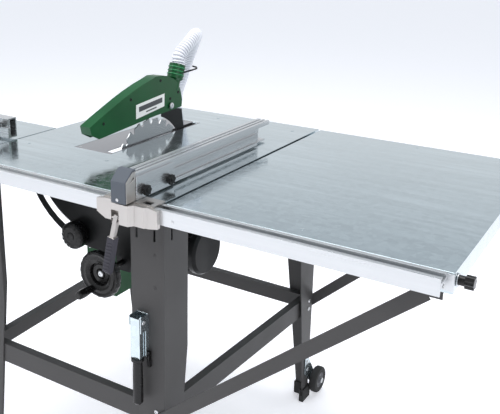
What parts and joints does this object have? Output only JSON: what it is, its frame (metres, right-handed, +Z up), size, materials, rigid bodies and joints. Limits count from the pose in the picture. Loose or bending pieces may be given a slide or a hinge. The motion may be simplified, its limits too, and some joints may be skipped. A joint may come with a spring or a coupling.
{
  "type": "table saw",
  "caption": "Site table saw on four folded legs, with tilting and lifting blade unit, hinged blade guard with dust hose, rip fence, extension table and sliding table with crosscut fence.",
  "frame": {"origin": "middle of the footprint (bounding box without the hose) on the floor", "axes": "+X to the operator's right along the fence rail, +Y away from the operator in the feed direction, +Z up"},
  "size_m": [1.73, 1.0987, 1.1597],
  "materials": {
    "galvanised_steel": "bluish zinc-coated sheet, satin gloss",
    "insert_grey": "dark grey, satin",
    "anodised_aluminium": "silver anodised extrusion",
    "cast_alloy": "die-cast grey, slightly rough",
    "leg_grey": "dark grey powder coat",
    "black_rubber": "matt black",
    "black_steel": "black, satin",
    "black_plastic": "black, fine grain",
    "slate_plastic": "dark slate, matt",
    "red_plastic": "red, glossy",
    "green_plastic": "dark green, semi-gloss",
    "blade_steel": "ground steel, bright",
    "hose_plastic": "milky, ribbed"
  },
  "bodies": {
    "frame": {"main_table": "galvanised_steel", "extension_table": "galvanised_steel", "table_insert": "insert_grey", "front_rail": "anodised_aluminium", "extension_rail": "anodised_aluminium", "leg_front_left": "leg_grey", "leg_front_right": "leg_grey", "leg_rear_left": "leg_grey", "leg_rear_right": "leg_grey", "foot_front_left": "black_rubber", "foot_front_right": "black_rubber", "foot_rear_left": "black_rubber", "foot_rear_right": "black_rubber", "brace_front": "leg_grey", "brace_rear": "leg_grey", "brace_left": "leg_grey", "brace_right": "leg_grey", "strut_front": "leg_grey", "strut_rear": "leg_grey", "caster_bracket_left": "galvanised_steel", "caster_bracket_right": "galvanised_steel", "tilt_plate_front": "black_steel", "tilt_plate_rear": "black_steel", "slide_rail": "anodised_aluminium", "lever_bracket": "galvanised_steel", "switch_box": "slate_plastic"},
    "tilt_unit": {"tilt_cradle": "black_steel"},
    "lift_unit": {"blade_case": "black_steel", "dust_hopper": "green_plastic", "lift_carriage": "black_steel", "motor": "black_steel", "drive_belt": "black_rubber", "riving_knife": "black_steel", "dust_hose": "hose_plastic"},
    "arbor": {"arbor": "galvanised_steel", "saw_blade": "blade_steel"},
    "motor_pulley": {"motor_pulley": "galvanised_steel"},
    "guard": {"guard_shell": "green_plastic"},
    "tilt_knob": {"tilt_knob": "black_plastic"},
    "handwheel": {"handwheel": "black_plastic"},
    "crank_grip": {"crank_grip": "black_plastic"},
    "fence": {"fence_saddle": "cast_alloy", "fence_tower": "cast_alloy", "fence_cap": "slate_plastic", "fence_plate": "anodised_aluminium"},
    "fence_bar": {"fence_bar": "anodised_aluminium"},
    "fence_lever": {"fence_lever": "cast_alloy"},
    "fence_knob_front": {"fence_knob_front": "black_plastic"},
    "fence_knob_rear": {"fence_knob_rear": "black_plastic"},
    "sliding_table": {"sliding_table": "galvanised_steel"},
    "crosscut_fence": {"crosscut_bar": "anodised_aluminium"},
    "crosscut_knob": {"crosscut_knob": "black_plastic"},
    "crosscut_clamp": {"crosscut_clamp": "black_plastic"},
    "transport_lever": {"transport_lever": "galvanised_steel"},
    "lever_catch": {"lever_catch": "black_plastic"},
    "start_button": {"start_button": "green_plastic"},
    "stop_button": {"stop_button": "red_plastic"},
    "rail_end_knob": {"rail_end_knob": "black_plastic"},
    "wheel_left": {"wheel_left": "black_rubber"},
    "wheel_right": {"wheel_right": "black_rubber"}
  },
  "joints": [
    {"name": "blade_tilt", "type": "hinge", "parent": "frame", "child": "tilt_unit", "pos_m": [-0.105, 0.1125, 0.88], "axis": [0, 1, 0], "range_deg": [0, 45]},
    {"name": "blade_lift", "type": "slide", "parent": "tilt_unit", "child": "lift_unit", "axis": [0, 0, 1], "range_m": [-0.04, 0.026]},
    {"name": "blade_spin", "type": "hinge", "parent": "lift_unit", "child": "arbor", "pos_m": [-0.105, 0.1125, 0.78], "axis": [1, 0, 0], "continuous": true},
    {"name": "pulley_spin", "type": "hinge", "parent": "lift_unit", "child": "motor_pulley", "pos_m": [-0.035, 0.0725, 0.618], "axis": [1, 0, 0], "continuous": true},
    {"name": "guard_swing", "type": "hinge", "parent": "lift_unit", "child": "guard", "pos_m": [-0.105, 0.1901, 0.962], "axis": [-1, 0, 0], "range_deg": [0, 35], "deforming": ["dust_hose"]},
    {"name": "tilt_knob_turn", "type": "hinge", "parent": "tilt_unit", "child": "tilt_knob", "pos_m": [-0.15472, -0.1325, 0.67288], "axis": [0, 1, 0], "range_deg": [-5, 1008]},
    {"name": "handwheel_turn", "type": "hinge", "parent": "tilt_unit", "child": "handwheel", "pos_m": [-0.025, -0.1925, 0.618], "axis": [0, -1, 0], "range_deg": [-232, 152]},
    {"name": "crank_grip_turn", "type": "hinge", "parent": "handwheel", "child": "crank_grip", "pos_m": [-0.045, -0.2225, 0.578], "axis": [0, 1, 0], "continuous": true},
    {"name": "fence_slide", "type": "slide", "parent": "frame", "child": "fence", "axis": [1, 0, 0], "range_m": [-0.2, 0.57]},
    {"name": "fence_bar_slide", "type": "slide", "parent": "fence", "child": "fence_bar", "axis": [0, 1, 0], "range_m": [0, 0.2]},
    {"name": "fence_lever_turn", "type": "hinge", "parent": "fence", "child": "fence_lever", "pos_m": [0.153, -0.3345, 0.849], "axis": [-1, 0, 0], "range_deg": [0, 70]},
    {"name": "fence_knob_front_turn", "type": "hinge", "parent": "fence", "child": "fence_knob_front", "pos_m": [0.191, -0.2795, 0.902], "axis": [1, 0, 0], "range_deg": [0, 720]},
    {"name": "fence_knob_rear_turn", "type": "hinge", "parent": "fence", "child": "fence_knob_rear", "pos_m": [0.191, -0.1925, 0.902], "axis": [1, 0, 0], "range_deg": [0, 720]},
    {"name": "sliding_table_slide", "type": "slide", "parent": "frame", "child": "sliding_table", "axis": [0, 1, 0], "range_m": [0, 0.45]},
    {"name": "crosscut_swing", "type": "hinge", "parent": "sliding_table", "child": "crosscut_fence", "pos_m": [-0.525, -0.0995, 0.88], "axis": [0, 0, 1], "range_deg": [-45, 45]},
    {"name": "crosscut_knob_turn", "type": "hinge", "parent": "crosscut_fence", "child": "crosscut_knob", "pos_m": [-0.437, -0.1325, 0.917], "axis": [0, 1, 0], "range_deg": [0, 720]},
    {"name": "crosscut_clamp_turn", "type": "hinge", "parent": "crosscut_fence", "child": "crosscut_clamp", "pos_m": [-0.525, -0.0995, 0.94], "axis": [0, 0, 1], "range_deg": [0, 360]},
    {"name": "transport_lever_fold", "type": "hinge", "parent": "frame", "child": "transport_lever", "pos_m": [0.153, -0.2745, 0.584], "axis": [-1, 0, 0], "range_deg": [0, 90]},
    {"name": "lever_catch_pull", "type": "hinge", "parent": "frame", "child": "lever_catch", "pos_m": [0.1745, -0.2605, 0.5], "axis": [-1, 0, 0], "range_deg": [0, 15], "stiffness_Nm_per_rad": 0.5, "springref_deg": -2.86},
    {"name": "start_button_press", "type": "slide", "parent": "frame", "child": "start_button", "axis": [0, 1, 0], "range_m": [0, 0.004], "stiffness_N_per_m": 600, "springref_m": -0.002},
    {"name": "stop_button_press", "type": "slide", "parent": "frame", "child": "stop_button", "axis": [0, 1, 0], "range_m": [0, 0.004], "stiffness_N_per_m": 600, "springref_m": -0.002},
    {"name": "rail_end_knob_turn", "type": "hinge", "parent": "frame", "child": "rail_end_knob", "pos_m": [0.849, -0.2545, 0.86], "axis": [1, 0, 0], "range_deg": [0, 720]},
    {"name": "wheel_left_spin", "type": "hinge", "parent": "frame", "child": "wheel_left", "pos_m": [-0.447, 0.5025, 0.05], "axis": [1, 0, 0], "continuous": true},
    {"name": "wheel_right_spin", "type": "hinge", "parent": "frame", "child": "wheel_right", "pos_m": [0.263, 0.5025, 0.05], "axis": [1, 0, 0], "continuous": true}
  ],
  "couplings": [
    {"joint": "pulley_spin", "follows": "blade_spin", "ratio": 1},
    {"joint": "tilt_knob_turn", "follows": "blade_tilt", "ratio": 22.167},
    {"joint": "handwheel_turn", "follows": "blade_lift", "rad_per_m": 100}
  ]
}
